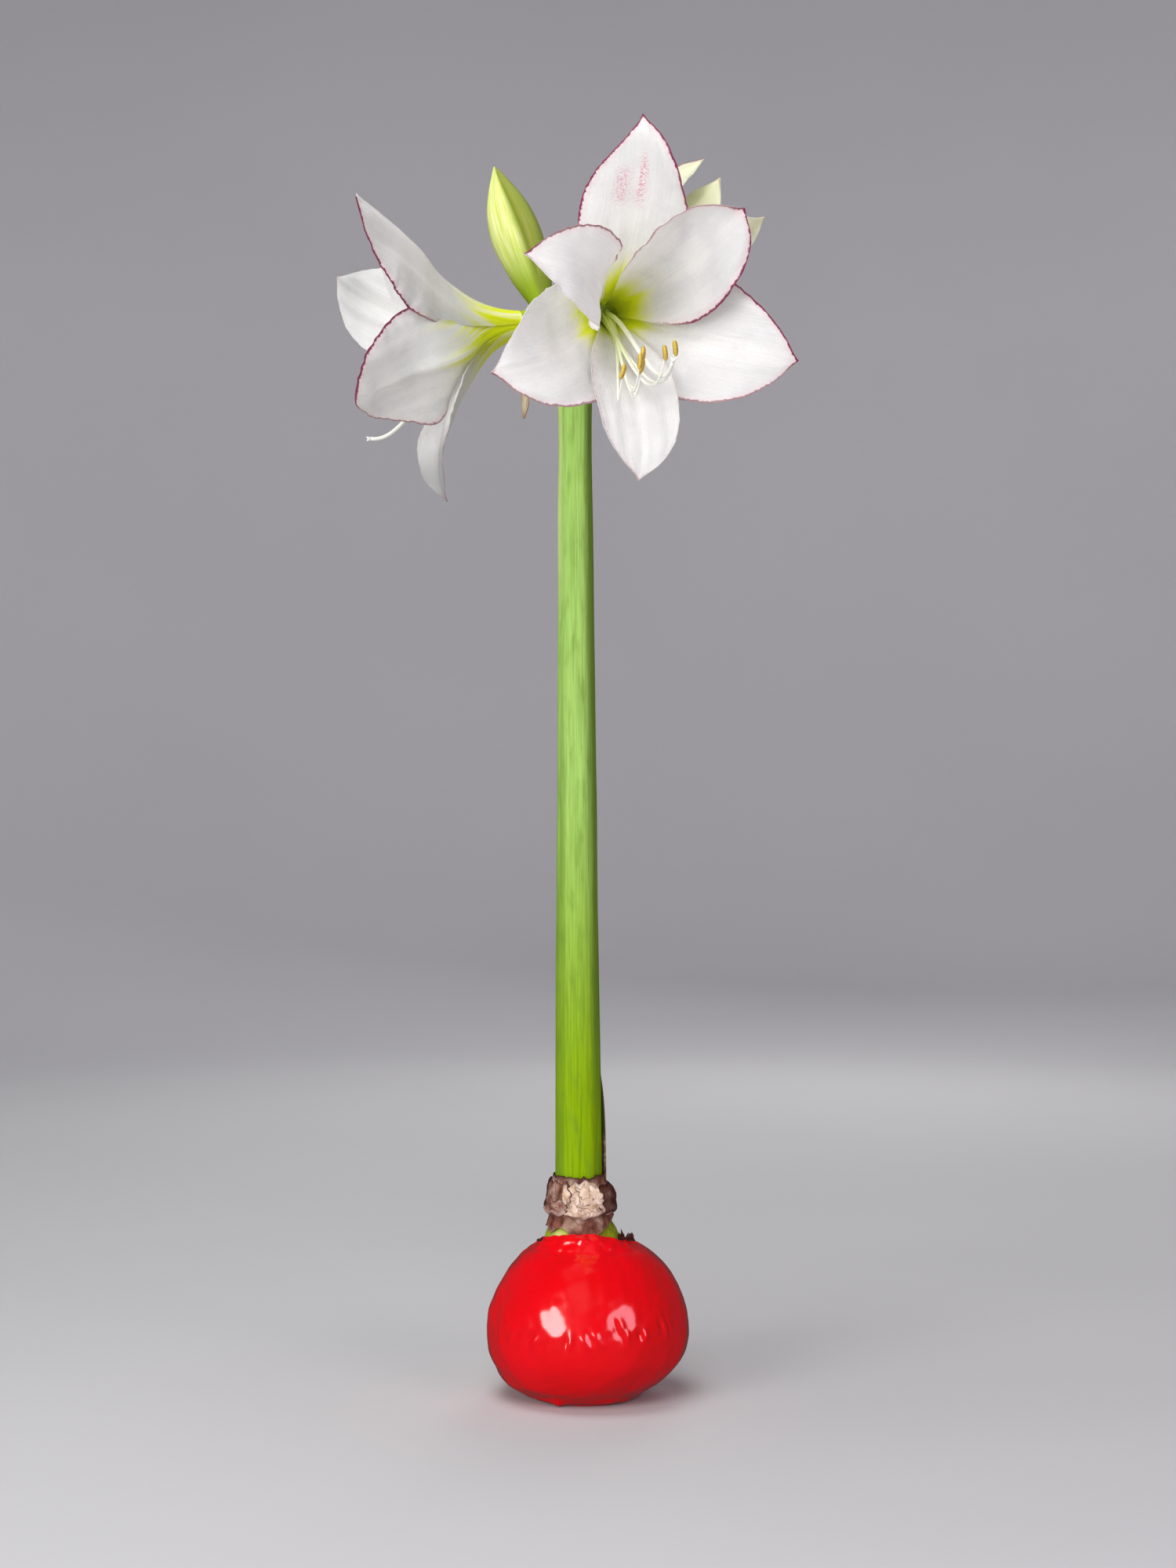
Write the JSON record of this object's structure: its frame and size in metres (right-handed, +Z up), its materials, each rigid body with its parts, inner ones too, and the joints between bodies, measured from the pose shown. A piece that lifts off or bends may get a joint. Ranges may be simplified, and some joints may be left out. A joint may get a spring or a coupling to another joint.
{
  "type": "amaryllis bulb",
  "caption": "Flowering bulb in a glossy red wax coat, with dry tunic round its neck, an upright green scape, a short young leaf, open white trumpet blooms and a closed bud",
  "frame": {"origin": "middle of the flat foot under the wax coat, on the surface the bulb stands on", "axes": "+Z up along the scape; the viewer of the picture looks along +Y, and +X is to that viewer's right"},
  "size_m": [0.2077, 0.2471, 0.5771],
  "materials": {
    "wax": "gloss",
    "bulb_green": "satin",
    "tunic_dark": "matte",
    "tunic_pale": "matte",
    "stem_green": "satin",
    "leaf_green": "satin",
    "tepal_white": "satin",
    "tepal_cream": "satin",
    "stamen": "matte",
    "bud_green": "satin",
    "bract": "matte"
  },
  "bodies": {
    "root": {"wax_coat": "wax", "bulb": "bulb_green", "neck_tunic_lower": "tunic_dark", "neck_tunic_upper": "tunic_pale", "tunic_scrap": "tunic_dark", "scape": "stem_green", "young_leaf": "leaf_green", "front_stalk": "stem_green", "front_tepal_top": "tepal_white", "front_tepal_upper_left": "tepal_white", "front_tepal_upper_right": "tepal_white", "front_tepal_lower_left": "tepal_white", "front_tepal_lower_right": "tepal_white", "front_tepal_bottom": "tepal_white", "front_stamens": "stamen", "left_stalk": "stem_green", "left_tepal_upper": "tepal_white", "left_tepal_upper_far": "tepal_white", "left_tepal_far": "tepal_white", "left_tepal_near": "tepal_white", "left_tepal_lower": "tepal_white", "left_tepal_lower_far": "tepal_white", "left_stamens": "stamen", "back_stalk": "stem_green", "back_tepal_upper": "tepal_cream", "back_tepal_near": "tepal_cream", "back_tepal_right": "tepal_cream", "back_tepal_lower": "tepal_cream", "back_tepal_far": "tepal_cream", "back_tepal_left": "tepal_cream", "back_stamens": "stamen", "bud_stalk": "stem_green", "bud": "bud_green", "spathe_bract_left": "bract", "spathe_bract_back": "bract"}
  },
  "joints": []
}
